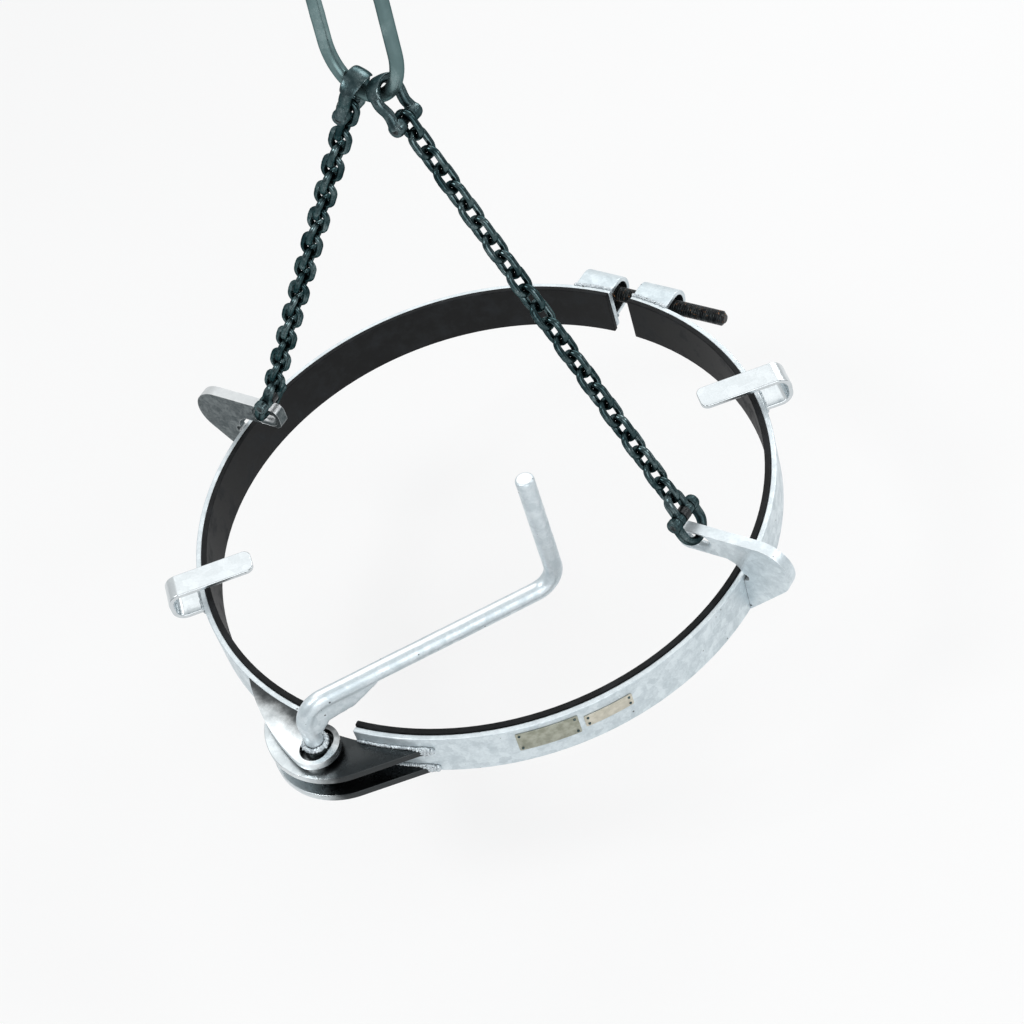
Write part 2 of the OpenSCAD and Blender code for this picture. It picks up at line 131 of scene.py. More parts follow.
# Heights up the sling's own plane from the swing axis, and the slant of a leg
HANG_V = -0.0104
BOW_V = HANG_V + math.sqrt(LEG_LENGTH ** 2 - HANG_X ** 2)
LEG_ANGLE = math.asin(HANG_X / LEG_LENGTH)

# Camera and studio
CAMERA_AT = Vector((1.1547, -1.1604, 1.7215))
CAMERA_AIM = Vector((0.0521, -0.0193, 0.0))
CAMERA_ROLL = math.radians(-18.98)
CAMERA_LENS = 83.45
FLOOR_DROP = 0.2
FLOOR_HALF = 40
BRIGHT_SIDE = (-0.46, 0.44, 0.77)

# Colours that several finishes share
# Pale rubbed edge colour: wear plus a painted edge highlight.
RUBBED_HIGHLIGHT_ZINC = (0.93, 0.95, 0.96, 1)
# Painted highlight on upward faces, as if lit from above.
LIT_TOP_ZINC = (0.94, 0.96, 0.97, 1)
PIT_BLACK = (0.03, 0.035, 0.04, 1)
# Painted shade colour, for narrow gaps and for the dark reflection near the band.
PAINTED_DARK_COLOUR = (0.010, 0.012, 0.013, 1)
# Pale rubbed steel: wear plus a painted edge highlight.
RUBBED_HIGHLIGHT_STEEL = (0.42, 0.48, 0.49, 1)
# Painted shade in the gaps of the sling steel.
LINK_CREVICE_SHADE = (0.004, 0.006, 0.007, 1)
STEEL_EDGE_TINT = (0.25, 0.30, 0.30, 1)


def add(tree, kind, values=(), **settings):
    """Adds a node, sets its properties, and fills its inputs with values or links."""
    node = tree.nodes.new(kind)
    for key, value in settings.items():
        setattr(node, key, value)
    for socket, value in dict(values).items():
        if isinstance(value, bpy.types.NodeSocket):
            tree.links.new(value, node.inputs[socket])
        else:
            node.inputs[socket].default_value = value
    return node


def new_group(name, kind, inputs, outputs):
    """A node group with named inputs (label, type, value) and outputs (label, type)."""
    tree = bpy.data.node_groups.new(name, kind)
    for label, socket_type, value in inputs:
        socket = tree.interface.new_socket(name=label, in_out="INPUT", socket_type=socket_type)
        if value is not None:
            socket.default_value = value
    for label, socket_type in outputs:
        tree.interface.new_socket(name=label, in_out="OUTPUT", socket_type=socket_type)
    return tree, tree.nodes.new("NodeGroupInput"), tree.nodes.new("NodeGroupOutput")


def math_node(tree, operation, first, second):
    return add(tree, "ShaderNodeMath", {0: first, 1: second}, operation=operation).outputs[0]


def times(tree, first, second):
    return math_node(tree, "MULTIPLY", first, second)


def spread(tree, value, low, high, to_low=0.0, to_high=1.0):
    """Maps a range of a value onto another range, smoothly and clamped."""
    return add(tree, "ShaderNodeMapRange",
               {"Value": value, "From Min": low, "From Max": high, "To Min": to_low, "To Max": to_high},
               interpolation_type="SMOOTHSTEP").outputs["Result"]


def noise_tex(tree, scale, detail, rough, vector, distortion=0.0):
    return add(tree, "ShaderNodeTexNoise", {
        "Vector": vector, "Scale": scale, "Detail": detail, "Roughness": rough,
        "Distortion": distortion}).outputs["Fac"]


def object_coords(tree):
    return add(tree, "ShaderNodeTexCoord").outputs["Object"]


def mix_colour(tree, factor, first, second):
    node = add(tree, "ShaderNodeMix", data_type="RGBA")
    for socket, value in ((node.inputs[0], factor), (node.inputs[6], first), (node.inputs[7], second)):
        if isinstance(value, bpy.types.NodeSocket):
            tree.links.new(value, socket)
        else:
            socket.default_value = value
    return node.outputs[2]


def zinc_bloom_group():
    """Cloudy hot-dip zinc: soft clouds, larger crystal patches and a fine grain."""
    tree, start, end = new_group(
        "zinc_bloom", "ShaderNodeTree",
        [("Cloud Scale", "NodeSocketFloat", 60.0), ("Crystal Scale", "NodeSocketFloat", 110.0)],
        [("Shade", "NodeSocketFloat"), ("Height", "NodeSocketFloat")])
    coords = object_coords(tree)
    cloud = noise_tex(tree, start.outputs["Cloud Scale"], 6.0, 0.62, coords, 0.4)
    fine = noise_tex(tree, 420.0, 5.0, 0.65, coords)
    wander = add(tree, "ShaderNodeTexNoise", {"Vector": coords, "Scale": 160.0}).outputs["Color"]
    wander = add(tree, "ShaderNodeVectorMath", {0: wander, "Scale": 0.006}, operation="SCALE").outputs[0]
    warped = add(tree, "ShaderNodeVectorMath", {0: coords, 1: wander}, operation="ADD").outputs[0]
    crystal = add(tree, "ShaderNodeTexVoronoi", {"Vector": warped, "Scale": start.outputs["Crystal Scale"]})
    patch = add(tree, "ShaderNodeSeparateColor", {"Color": crystal.outputs["Color"]}).outputs[0]
    tone = math_node(tree, "ADD", times(tree, cloud, 0.85), times(tree, patch, 0.22))
    tone = math_node(tree, "ADD", tone, times(tree, fine, 0.45))
    tree.links.new(spread(tree, tone, 0.50, 1.05), end.inputs["Shade"])
    height = math_node(tree, "ADD", times(tree, cloud, 0.6), times(tree, fine, 0.4))
    tree.links.new(height, end.inputs["Height"])
    return tree


def edge_wear_highlight_group():
    """Mask of the convex edges, broken up by a noise: rubbed wear that also serves as a painted edge
    highlight.
    """
    tree, start, end = new_group(
        "edge_rub", "ShaderNodeTree",
        [("Radius", "NodeSocketFloat", 0.002), ("Breakup", "NodeSocketFloat", 0.4)],
        [("Mask", "NodeSocketFloat")])
    bevel = add(tree, "ShaderNodeBevel", {"Radius": start.outputs["Radius"]}, samples=6)
    true_normal = add(tree, "ShaderNodeNewGeometry").outputs["Normal"]
    turn = add(tree, "ShaderNodeVectorMath", {0: bevel.outputs[0], 1: true_normal}, operation="DOT_PRODUCT")
    edge_highlight_mask = spread(tree, math_node(tree, "SUBTRACT", 1.0, turn.outputs["Value"]), 0.01, 0.18)
    patchy = noise_tex(tree, 130.0, 3.0, 0.6, object_coords(tree))
    kept = spread(tree, patchy, start.outputs["Breakup"], 0.75, 0.25, 1.0)
    tree.links.new(times(tree, edge_highlight_mask, kept), end.inputs["Mask"])
    return tree


def soot_pits_group():
    """Sparse small dark pits, denser or rarer by Amount."""
    tree, start, end = new_group(
        "soot_pits", "ShaderNodeTree",
        [("Scale", "NodeSocketFloat", 170.0), ("Amount", "NodeSocketFloat", 0.2)],
        [("Mask", "NodeSocketFloat")])
    coords = object_coords(tree)
    cells = add(tree, "ShaderNodeTexVoronoi", {"Vector": coords, "Scale": start.outputs["Scale"]})
    chance = add(tree, "ShaderNodeSeparateColor", {"Color": cells.outputs["Color"]})
    picked = math_node(tree, "LESS_THAN", chance.outputs[0], start.outputs["Amount"])
    size = spread(tree, chance.outputs[1], 0.0, 1.0, 0.06, 0.2)
    dot = math_node(tree, "LESS_THAN", cells.outputs["Distance"], size)
    tree.links.new(times(tree, picked, dot), end.inputs["Mask"])
    return tree


def forge_scale_group():
    """Blotchy forging scale with rubbed patches and a pebbled grain."""
    tree, start, end = new_group(
        "forge_scale", "ShaderNodeTree",
        [("Blotch Scale", "NodeSocketFloat", 90.0), ("Grain Scale", "NodeSocketFloat", 700.0)],
        [("Shade", "NodeSocketFloat"), ("Rub", "NodeSocketFloat"), ("Height", "NodeSocketFloat")])
    coords = object_coords(tree)
    blotch = noise_tex(tree, start.outputs["Blotch Scale"], 5.0, 0.6, coords, 0.6)
    grain = noise_tex(tree, start.outputs["Grain Scale"], 3.0, 0.6, coords)
    tree.links.new(spread(tree, blotch, 0.32, 0.7), end.inputs["Shade"])
    tree.links.new(spread(tree, times(tree, blotch, grain), 0.27, 0.38), end.inputs["Rub"])
    height = math_node(tree, "ADD", times(tree, blotch, 0.5), times(tree, grain, 0.5))
    tree.links.new(height, end.inputs["Height"])
    return tree


def dark_reflection_group():
    """Painted dark reflection on a plate next to the band: fades outwards, and Drift takes it further on
    the right.
    """
    tree, start, end = new_group(
        "corner_grime", "ShaderNodeTree",
        [("Reach", "NodeSocketFloat", 0.02), ("Drift", "NodeSocketFloat", 0.0)],
        [("Mask", "NodeSocketFloat")])
    coords = object_coords(tree)
    flat = add(tree, "ShaderNodeVectorMath", {0: coords, 1: (1.0, 1.0, 0.0)}, operation="MULTIPLY")
    radius = add(tree, "ShaderNodeVectorMath", {0: flat.outputs[0]}, operation="LENGTH").outputs["Value"]
    away = math_node(tree, "DIVIDE", math_node(tree, "SUBTRACT", radius, BAND_R), start.outputs["Reach"])
    uneven = times(tree, noise_tex(tree, 55.0, 5.0, 0.6, coords), 0.7)
    right = add(tree, "ShaderNodeSeparateXYZ", {0: coords}).outputs["X"]
    away = math_node(tree, "SUBTRACT", away, times(tree, right, start.outputs["Drift"]))
    mask = spread(tree, math_node(tree, "ADD", away, uneven), 0.35, 1.15, 1.0, 0.0)
    tree.links.new(mask, end.inputs["Mask"])
    return tree


def crevice_shade_group():
    """Mask of narrow gaps and inner corners, for painted shade."""
    tree, start, end = new_group(
        "crevice_dirt", "ShaderNodeTree",
        [("Reach", "NodeSocketFloat", 0.006), ("Open", "NodeSocketFloat", 0.78)],
        [("Mask", "NodeSocketFloat")])
    closed_in = add(tree, "ShaderNodeAmbientOcclusion", {"Distance": start.outputs["Reach"]}, samples=8)
    shut = times(tree, start.outputs["Open"], 0.4)
    mask = spread(tree, closed_in.outputs["AO"], shut, start.outputs["Open"], 1.0, 0.0)
    tree.links.new(mask, end.inputs["Mask"])
    return tree


ZINC_BLOOM = zinc_bloom_group()
EDGE_WEAR_HIGHLIGHT = edge_wear_highlight_group()
SOOT_PITS = soot_pits_group()
FORGE_SCALE = forge_scale_group()
DARK_REFLECTION = dark_reflection_group()
CREVICE_SHADE = crevice_shade_group()


def effect(tree, group_tree, **values):
    """Places a shared effect in a material with its own values."""
    node = add(tree, "ShaderNodeGroup", node_tree=group_tree)
    for label, value in values.items():
        node.inputs[label.replace("_", " ")].default_value = value
    return node.outputs


def new_material(name):
    material = bpy.data.materials.new(name)
    material.use_nodes = True
    tree = material.node_tree
    return material, tree, tree.nodes["Principled BSDF"]


def set_surface(tree, shader, colour, roughness):
    tree.links.new(colour, shader.inputs["Base Color"])
    tree.links.new(roughness, shader.inputs["Roughness"])


def bump(tree, shader, height, strength, distance):
    node = add(tree, "ShaderNodeBump", {"Height": height, "Strength": strength, "Distance": distance})
    tree.links.new(node.outputs[0], shader.inputs["Normal"])


def zinc_material(name, dark, pale, rough, pits, grain, clouds, metal,
                  dark_reflection_reach=0.0, drift=0.0, crevice_shade_reach=0.0, open_at=0.78, top=None):
    """Galvanised steel between a dark and a pale tone, with pits, and rubbed edges that carry a painted
    edge highlight.

    The band-side reach and drift paint a dark reflection near the band, the gap reach and open_at paint
    shade into narrow gaps, and top (from slope, to slope, share) paints the upward faces pale as a painted
    highlight.
    """
    material, tree, shader = new_material(name)
    bloom = effect(tree, ZINC_BLOOM, Cloud_Scale=clouds)
    edge_highlight_mask = effect(tree, EDGE_WEAR_HIGHLIGHT, Radius=0.0022, Breakup=0.35)["Mask"]
    pit = effect(tree, SOOT_PITS, Amount=pits)["Mask"]
    colour = mix_colour(tree, bloom["Shade"], (*dark, 1), (*pale, 1))
    # Rubbed edges: wear plus a painted edge highlight.
    colour = mix_colour(tree, times(tree, edge_highlight_mask, 0.6), colour, RUBBED_HIGHLIGHT_ZINC)
    colour = mix_colour(tree, times(tree, pit, 0.85), colour, PIT_BLACK)
    # top paints the upward faces pale: a painted highlight from the light above.
    if top:
        from_slope, to_slope, share = top
        normal = add(tree, "ShaderNodeNewGeometry").outputs["Normal"]
        facing = add(tree, "ShaderNodeSeparateXYZ", {0: normal}).outputs["Z"]
        lit_top_share = spread(tree, facing, from_slope, to_slope, 0.0, share)
        colour = mix_colour(tree, lit_top_share, colour, LIT_TOP_ZINC)
    # Painted dark reflection on the plate near the band.
    if dark_reflection_reach:
        painted_dark_mask = effect(tree, DARK_REFLECTION, Reach=dark_reflection_reach, Drift=drift)["Mask"]
        colour = mix_colour(tree, times(tree, painted_dark_mask, 0.95), colour, PAINTED_DARK_COLOUR)
    # Painted shade in narrow gaps and inner corners.
    if crevice_shade_reach:
        painted_dark_mask = effect(tree, CREVICE_SHADE, Reach=crevice_shade_reach, Open=open_at)["Mask"]
        colour = mix_colour(tree, times(tree, painted_dark_mask, 0.9), colour, PAINTED_DARK_COLOUR)
    roughness = spread(tree, bloom["Shade"], 0.0, 1.0, rough[1], rough[0])
    roughness = math_node(tree, "ADD", roughness, times(tree, pit, 0.3))
    set_surface(tree, shader, colour, roughness)
    shader.inputs["Metallic"].default_value = metal
    height = math_node(tree, "SUBTRACT", bloom["Height"], pit)
    bump(tree, shader, height, grain, 0.0004)
    return material


def sling_material(name, dark, pale, rough, grain, blotch, metal):
    """Dark oiled sling steel with blotchy scale, rubbed edges with a painted edge highlight, and painted
    shade in the gaps.
    """
    material, tree, shader = new_material(name)
    scale = effect(tree, FORGE_SCALE, Blotch_Scale=blotch)
    edge_highlight_mask = effect(tree, EDGE_WEAR_HIGHLIGHT, Radius=0.0018, Breakup=0.42)["Mask"]
    colour = mix_colour(tree, scale["Shade"], (*dark, 1), (*pale, 1))
    # Rubbed edges and patches: wear, with a painted highlight on the edges.
    wear_and_highlight = math_node(tree, "MAXIMUM", times(tree, edge_highlight_mask, 0.55), times(tree, scale["Rub"], 0.2))
    colour = mix_colour(tree, wear_and_highlight, colour, RUBBED_HIGHLIGHT_STEEL)
    # Painted shade in the gaps between the pieces.
    painted_dark_mask = effect(tree, CREVICE_SHADE, Reach=0.007, Open=0.7)["Mask"]
    colour = mix_colour(tree, times(tree, painted_dark_mask, 0.85), colour, LINK_CREVICE_SHADE)
    set_surface(tree, shader, colour, spread(tree, scale["Shade"], 0.0, 1.0, rough[1], rough[0]))
    shader.inputs["Metallic"].default_value = metal
    shader.inputs["Specular Tint"].default_value = STEEL_EDGE_TINT
    bump(tree, shader, scale["Height"], grain, 0.0004)
    return material


def rubber_material():
    """Matt black lining rubber with a dusty bloom."""
    material, tree, shader = new_material("lining_rubber")
    coords = object_coords(tree)
    dust = spread(tree, noise_tex(tree, 45.0, 6.0, 0.65, coords), 0.42, 0.75)
    colour = mix_colour(tree, dust, (0.006, 0.0065, 0.007, 1), (0.020, 0.022, 0.024, 1))
    set_surface(tree, shader, colour, spread(tree, dust, 0.0, 1.0, 0.55, 0.8))
    shader.inputs["Specular IOR Level"].default_value = 0.15
    bump(tree, shader, noise_tex(tree, 900.0, 3.0, 0.6, coords), 0.2, 0.0003)
    return material


def thread_material():
    """Black oxide spindle with rusty brown flecks in the thread."""
    material, tree, shader = new_material("black_spindle")
    coords = object_coords(tree)
    film = noise_tex(tree, 160.0, 5.0, 0.6, coords)
    rust = spread(tree, noise_tex(tree, 230.0, 4.0, 0.7, coords, 0.8), 0.60, 0.68)
    tone = spread(tree, film, 0.3, 0.7)
    colour = mix_colour(tree, tone, (0.006, 0.007, 0.008, 1), (0.03, 0.035, 0.036, 1))
    colour = mix_colour(tree, rust, colour, (0.32, 0.15, 0.06, 1))
    set_surface(tree, shader, colour, spread(tree, rust, 0.0, 1.0, 0.34, 0.8))
    tree.links.new(spread(tree, rust, 0.0, 1.0, 0.7, 0.0), shader.inputs["Metallic"])
    bump(tree, shader, film, 0.3, 0.0003)
    return material


def sleeve_material():
    """Smooth black sleeve of the load pin."""
    material, tree, shader = new_material("black_sleeve")
    film = noise_tex(tree, 220.0, 4.0, 0.6, object_coords(tree))
    colour = mix_colour(tree, film, (0.006, 0.007, 0.008, 1), (0.022, 0.026, 0.028, 1))
    set_surface(tree, shader, colour, spread(tree, film, 0.3, 0.7, 0.22, 0.42))
    shader.inputs["Metallic"].default_value = 0.4
    return material


def tin_material(name, dark, pale):
    """Dull tin of the bare plates, with fine lengthwise brushing."""
    material, tree, shader = new_material(name)
    coords = object_coords(tree)
    stretched = add(tree, "ShaderNodeMapping", {"Vector": coords, "Scale": (60.0, 60.0, 1800.0)}).outputs[0]
    brush = noise_tex(tree, 1.0, 3.0, 0.6, stretched)
    tarnish = noise_tex(tree, 120.0, 5.0, 0.6, coords)
    colour = mix_colour(tree, spread(tree, tarnish, 0.35, 0.7), (*dark, 1), (*pale, 1))
    # Rubbed edges: wear plus a painted edge highlight.
    edge_highlight_mask = effect(tree, EDGE_WEAR_HIGHLIGHT, Radius=0.0008, Breakup=0.3)["Mask"]
    colour = mix_colour(tree, times(tree, edge_highlight_mask, 0.5), colour, (0.80, 0.80, 0.76, 1))
    set_surface(tree, shader, colour, spread(tree, brush, 0.3, 0.7, 0.32, 0.5))
    shader.inputs["Metallic"].default_value = 0.75
    bump(tree, shader, brush, 0.12, 0.0002)
    return material


# Band zinc: painted highlight on upward faces and painted shade in narrow gaps.
BAND_ZINC = zinc_material(
    "band_zinc", dark=(0.53, 0.60, 0.635), pale=(0.71, 0.785, 0.82), rough=(0.38, 0.52), pits=0.05,
    grain=0.22, clouds=95.0, metal=0.7, crevice_shade_reach=0.012, open_at=0.42, top=(0.6, 0.92, 0.25))
# Eye zinc: painted shade darkens the inside of the eyes.
EYE_ZINC = zinc_material(
    "eye_zinc", dark=(0.53, 0.60, 0.635), pale=(0.71, 0.785, 0.82), rough=(0.34, 0.46), pits=0.03,
    grain=0.16, clouds=60.0, metal=0.8, crevice_shade_reach=0.022, open_at=0.72)
# Plate zinc: painted dark reflection near the band and painted shade in narrow gaps.
PLATE_ZINC = zinc_material(
    "plate_zinc", dark=(0.73, 0.78, 0.80), pale=(0.88, 0.92, 0.935), rough=(0.24, 0.34), pits=0.02,
    grain=0.08, clouds=45.0, metal=1.0, dark_reflection_reach=0.038, crevice_shade_reach=0.007)
# Fork zinc: painted dark reflection near the band, reaching further on the right wing, and painted shade in
# narrow gaps.
FORK_ZINC = zinc_material(
    "fork_zinc", dark=(0.60, 0.65, 0.67), pale=(0.74, 0.79, 0.81), rough=(0.24, 0.34), pits=0.02,
    grain=0.08, clouds=45.0, metal=1.0, dark_reflection_reach=0.070, drift=16.0, crevice_shade_reach=0.008)
# Lever zinc: top gives a painted highlight line along the bar's top; painted shade at the foot.
LEVER_ZINC = zinc_material(
    "lever_zinc", dark=(0.54, 0.615, 0.65), pale=(0.70, 0.765, 0.80), rough=(0.34, 0.46), pits=0.11,
    grain=0.14, clouds=120.0, metal=0.65, crevice_shade_reach=0.004, top=(0.95, 0.985, 1.0))
# Finger zinc: painted shade darkens the inside of the loop.
FINGER_ZINC = zinc_material(
    "finger_zinc", dark=(0.60, 0.64, 0.66), pale=(0.67, 0.71, 0.73), rough=(0.18, 0.26), pits=0.02,
    grain=0.05, clouds=35.0, metal=1.0, crevice_shade_reach=0.016, open_at=0.62)
# Dark copy of the zinc for the left lug: painted shade on its faces, with a painted highlight on its upward
# faces.
SHADED_LUG_ZINC = zinc_material(
    "dull_zinc", dark=(0.060, 0.077, 0.083), pale=(0.15, 0.175, 0.18), rough=(0.36, 0.50), pits=0.03,
    grain=0.25, clouds=150.0, metal=0.8, top=(0.45, 0.8, 0.62))
# Weld zinc: painted shade in the crevices between the beads.
WELD_ZINC = zinc_material(
    "weld_zinc", dark=(0.38, 0.43, 0.46), pale=(0.70, 0.76, 0.79), rough=(0.34, 0.52), pits=0.3,
    grain=0.5, clouds=160.0, metal=0.75, crevice_shade_reach=0.004)
CHAIN_STEEL = sling_material(
    "chain_steel", dark=(0.018, 0.038, 0.042), pale=(0.085, 0.128, 0.134), rough=(0.14, 0.22),
    grain=0.06, blotch=60.0, metal=0.95)
FORGED_STEEL = sling_material(
    "forged_steel", dark=(0.028, 0.050, 0.055), pale=(0.088, 0.128, 0.134), rough=(0.20, 0.32),
    grain=0.3, blotch=60.0, metal=0.9)
PIN_STEEL = sling_material(
    "pin_steel", dark=(0.008, 0.011, 0.012), pale=(0.030, 0.038, 0.040), rough=(0.26, 0.45),
    grain=0.2, blotch=200.0, metal=0.5)
MASTER_STEEL = sling_material(
    "master_steel", dark=(0.125, 0.192, 0.196), pale=(0.185, 0.268, 0.272), rough=(0.26, 0.38),
    grain=0.06, blotch=30.0, metal=0.9)
LINING_RUBBER = rubber_material()
BLACK_SPINDLE = thread_material()
BLACK_SLEEVE = sleeve_material()
KHAKI_TIN = tin_material("khaki_tin", (0.27, 0.28, 0.22), (0.42, 0.43, 0.36))
PALE_TIN = tin_material("pale_tin", (0.50, 0.48, 0.40), (0.66, 0.63, 0.54))


def new_object(name, mesh, material):
    """Links a mesh as an object at the origin with one material."""
    mesh.materials.clear()
    mesh.materials.append(material)
    obj = bpy.data.objects.new(name, mesh)
    bpy.context.scene.collection.objects.link(obj)
    return obj


def shade(mesh, sharp_degrees):
    """Smooth shading with sharp edges above an angle."""
    mesh.polygons.foreach_set("use_smooth", [True] * len(mesh.polygons))
    mesh.set_sharp_from_angle(angle=math.radians(sharp_degrees))


def frozen(obj):
    """Turns an object's evaluated shape into its plain mesh and removes the modifiers."""
    bpy.context.view_layer.update()
    evaluated = obj.evaluated_get(bpy.context.evaluated_depsgraph_get())
    mesh = bpy.data.meshes.new_from_object(evaluated)
    obj.modifiers.clear()
    obj.data = mesh
    return obj


def mount(obj, body, slot, *replaced):
    """Sets a finished piece on its body, in place of the solids it stands for."""
    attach(obj, body)
    if replaced:
        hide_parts(*replaced)


def round_edges(obj, width, segments, degrees):
    """Adds a bevel to the edges that turn by more than an angle."""
    rounding = obj.modifiers.new("rounding", "BEVEL")
    rounding.width = width
    rounding.segments = segments
    rounding.limit_method = "ANGLE"
    rounding.angle_limit = math.radians(degrees)
    return rounding


def softened(node, material, body, slot, width):
    """Puts a copy of a solid with rounded edges in its place."""
    work = bmesh.new()
    work.from_mesh(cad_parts[node].data)
    bmesh.ops.remove_doubles(work, verts=work.verts, dist=3e-6)
    bmesh.ops.dissolve_limit(work, angle_limit=math.radians(0.4), verts=work.verts, edges=work.edges)
    name = node + "_finished"
    obj = new_object(name, bmesh_to_mesh(work, name), material)
    round_edges(obj, width, 3, 40).miter_outer = "MITER_ARC"
    frozen(obj)
    shade(obj.data, 40)
    weighted = obj.modifiers.new("weighted", "WEIGHTED_NORMAL")
    weighted.keep_sharp = True
    frozen(obj)
    mount(obj, body, slot, node)


def tube(work, points, across, sections, ring, closed=False):
    """Adds a bar to a bmesh, along points in a plane whose normal is across.

    sections is one pair of half sizes (in plane, across), or a list with a pair for each point.
    """
    count = len(points)
    rings = []
    for i, point in enumerate(points):
        ahead = points[(i + 1) % count] if closed or i < count - 1 else point
        behind = points[i - 1] if closed or i > 0 else point
        out = across.cross((ahead - behind).normalized()).normalized()
        in_plane, sideways = sections[i] if isinstance(sections, list) else sections
        loop = []
        for k in range(ring):
            a = 2 * math.pi * k / ring
            place = point + out * (in_plane * math.cos(a)) + across * (sideways * math.sin(a))
            loop.append(work.verts.new(place))
        rings.append(loop)
    pairs = [(rings[i], rings[(i + 1) % count]) for i in range(count if closed else count - 1)]
    for first, second in pairs:
        for k in range(ring):
            work.faces.new((first[k], first[(k + 1) % ring], second[(k + 1) % ring], second[k]))
    if not closed:
        work.faces.new(list(reversed(rings[0])))
        work.faces.new(rings[-1])


def arc(centre, radius, start, finish, steps, u, v):
    """Points on a circle arc in the plane of u and v, angles in degrees."""
    return [centre + (u * math.cos(a) + v * math.sin(a)) * radius
            for a in (math.radians(start + (finish - start) * k / steps) for k in range(steps + 1))]


def bmesh_to_mesh(work, name):
    bmesh.ops.recalc_face_normals(work, faces=work.faces)
    mesh = bpy.data.meshes.new(name)
    work.to_mesh(mesh)
    work.free()
    return mesh


def roughen(mesh, lumps, lump_size, depth=3):
    """Pushes a mesh in and out along its normals by a noise."""
    moved = []
    for place, normal in [(v.co.copy(), v.normal.copy()) for v in mesh.vertices]:
        moved.extend(place + normal * (lumps * noise.fractal(place / lump_size, 0.8, 2.0, depth)))
    mesh.vertices.foreach_set("co", moved)
    mesh.update()


def forged(name, work, material, voxel, rounds, lumps, lump_size):
    """Melts the shells of a bmesh into one skin, softens it and gives it an uneven surface."""
    obj = new_object(name, bmesh_to_mesh(work, name), material)
    melt = obj.modifiers.new("melt", "REMESH")
    melt.mode = "VOXEL"
    melt.voxel_size = voxel
    soften = obj.modifiers.new("soften", "SMOOTH")
    soften.factor = 0.5
    soften.iterations = rounds
    frozen(obj)
    roughen(obj.data, lumps, lump_size)
    shade(obj.data, 180)
    return obj


def sling_matrix(height):
    """Place of a piece in the leaning plane of the sling, so far up it from the swing axis."""
    return (Matrix.Translation((0, 0, SWING_Z)) @ Matrix.Rotation(-SLING_LEAN, 4, "X")
            @ Matrix.Translation((0, 0, height)))


def leg_matrix(side, along):
    """Place of a sling piece: its -Z runs down the leg, measured from the centre of the lower bow."""
    leg = sling_matrix(BOW_V) @ Matrix.Rotation(-side * LEG_ANGLE, 4, "Y")
    return leg @ Matrix.Translation((0, 0, -along))


def set_inputs(modifier, **values):
    """Sets a node modifier's inputs by the identifiers of their sockets."""
    for item in modifier.node_group.interface.items_tree:
        label = item.name.replace(" ", "_").lower()
        if item.item_type == "SOCKET" and item.in_out == "INPUT" and label in values:
            modifier[item.identifier] = values[label]


def grown(name, mesh, tree, material, **values):
    """Runs a geometry node tree on a mesh and keeps the result as a plain mesh."""
    obj = new_object(name, mesh, material)
    modifier = obj.modifiers.new("grow", "NODES")
    modifier.node_group = tree
    set_inputs(modifier, finish=material, **values)
    return frozen(obj)


def node_tree(name, inputs):
    """A geometry tree with a mesh input, its named sizes and a material input."""
    sockets = [("Geometry", "NodeSocketGeometry", None), *inputs, ("Finish", "NodeSocketMaterial", None)]
    return new_group(name, "GeometryNodeTree", sockets, [("Geometry", "NodeSocketGeometry")])


def close_tree(tree, start, end, geometry):
    """Realizes the instances, shades them smooth and gives them the finish."""
    real = add(tree, "GeometryNodeRealizeInstances", {"Geometry": geometry})
    smooth = add(tree, "GeometryNodeSetShadeSmooth", {"Geometry": real.outputs[0]})
    done = add(tree, "GeometryNodeSetMaterial", {
        "Geometry": smooth.outputs[0], "Material": start.outputs["Finish"]})
    tree.links.new(done.outputs[0], end.inputs["Geometry"])
    return tree


def link_row_tree():
    """A row of links down the leg, each turned a quarter against the last."""
    tree, start, end = node_tree("link_row", [
        ("Count", "NodeSocketInt", 3), ("Pitch", "NodeSocketFloat", 0.02)])
    drop = add(tree, "ShaderNodeCombineXYZ", {"Z": times(tree, start.outputs["Pitch"], -1.0)})
    row = add(tree, "GeometryNodeMeshLine", {"Count": start.outputs["Count"], "Offset": drop.outputs[0]})
    index = add(tree, "GeometryNodeInputIndex").outputs[0]
    quarter = times(tree, math_node(tree, "MODULO", index, 2.0), math.pi / 2)
    turn = add(tree, "ShaderNodeCombineXYZ", {"Z": quarter})
    placed = add(tree, "GeometryNodeInstanceOnPoints", {
        "Points": row.outputs[0], "Instance": start.outputs["Geometry"], "Rotation": turn.outputs[0]})
    return close_tree(tree, start, end, placed.outputs[0])


def weld_tree():
    """A run of overlapping weld ripples along the input's edges, uneven in size and turn."""
    tree, start, end = node_tree("weld_run", [
        ("Spacing", "NodeSocketFloat", 0.002), ("Bead", "NodeSocketFloat", 0.003),
        ("Seed", "NodeSocketInt", 1)])
    path = add(tree, "GeometryNodeMeshToCurve", {"Mesh": start.outputs["Geometry"]})
    steps = add(tree, "GeometryNodeResampleCurve", {
        "Curve": path.outputs[0], "Length": start.outputs["Spacing"]}, mode="LENGTH")
    ball = add(tree, "GeometryNodeMeshIcoSphere", {"Radius": start.outputs["Bead"], "Subdivisions": 3})
    along = add(tree, "FunctionNodeAlignRotationToVector", {
        "Vector": add(tree, "GeometryNodeInputTangent").outputs[0]}, axis="X")
    size = add(tree, "FunctionNodeRandomValue", {
        0: (0.75, 0.85, 0.75), 1: (1.05, 1.25, 1.2), "Seed": start.outputs["Seed"]},
        data_type="FLOAT_VECTOR")
    placed = add(tree, "GeometryNodeInstanceOnPoints", {
        "Points": steps.outputs[0], "Instance": ball.outputs[0],
        "Rotation": along.outputs[0], "Scale": size.outputs[0]})
    return close_tree(tree, start, end, placed.outputs[0])


